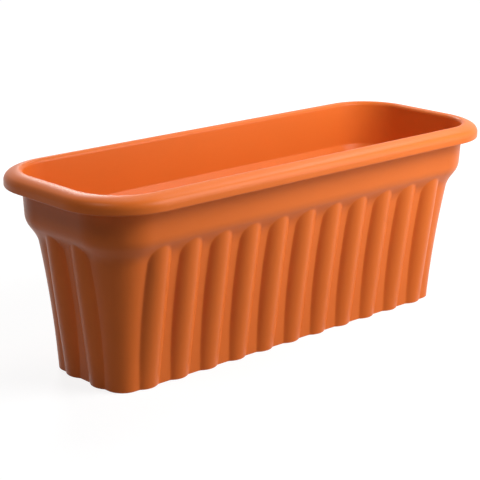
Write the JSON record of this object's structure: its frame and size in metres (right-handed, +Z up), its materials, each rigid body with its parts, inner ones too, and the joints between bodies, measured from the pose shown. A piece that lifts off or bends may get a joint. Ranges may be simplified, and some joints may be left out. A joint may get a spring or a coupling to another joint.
{
  "type": "window box planter",
  "caption": "Long plastic window box planter with leaning ribbed walls, a shoulder, a rolled rim and push-in drain stoppers.",
  "frame": {"origin": "centre of the footprint, on the ground", "axes": "+X along the box, +Y across it, +Z up"},
  "size_m": [0.6, 0.2226, 0.221],
  "materials": {
    "terracotta_plastic": "semi-matte moulded polypropylene, terracotta orange",
    "stopper_plastic": "matte moulded polypropylene, dark brown"
  },
  "bodies": {
    "trough": {"trough": "terracotta_plastic"},
    "drain_stopper_1": {"drain_stopper_1": "stopper_plastic"},
    "drain_stopper_2": {"drain_stopper_2": "stopper_plastic"},
    "drain_stopper_3": {"drain_stopper_3": "stopper_plastic"},
    "drain_stopper_4": {"drain_stopper_4": "stopper_plastic"},
    "drain_stopper_5": {"drain_stopper_5": "stopper_plastic"},
    "drain_stopper_6": {"drain_stopper_6": "stopper_plastic"}
  },
  "joints": [
    {"name": "drain_stopper_1_lift", "type": "slide", "parent": "trough", "child": "drain_stopper_1", "axis": [0, 0, 1], "range_m": [0, 0.225]},
    {"name": "drain_stopper_2_lift", "type": "slide", "parent": "trough", "child": "drain_stopper_2", "axis": [0, 0, 1], "range_m": [0, 0.225]},
    {"name": "drain_stopper_3_lift", "type": "slide", "parent": "trough", "child": "drain_stopper_3", "axis": [0, 0, 1], "range_m": [0, 0.225]},
    {"name": "drain_stopper_4_lift", "type": "slide", "parent": "trough", "child": "drain_stopper_4", "axis": [0, 0, 1], "range_m": [0, 0.225]},
    {"name": "drain_stopper_5_lift", "type": "slide", "parent": "trough", "child": "drain_stopper_5", "axis": [0, 0, 1], "range_m": [0, 0.225]},
    {"name": "drain_stopper_6_lift", "type": "slide", "parent": "trough", "child": "drain_stopper_6", "axis": [0, 0, 1], "range_m": [0, 0.225]}
  ]
}
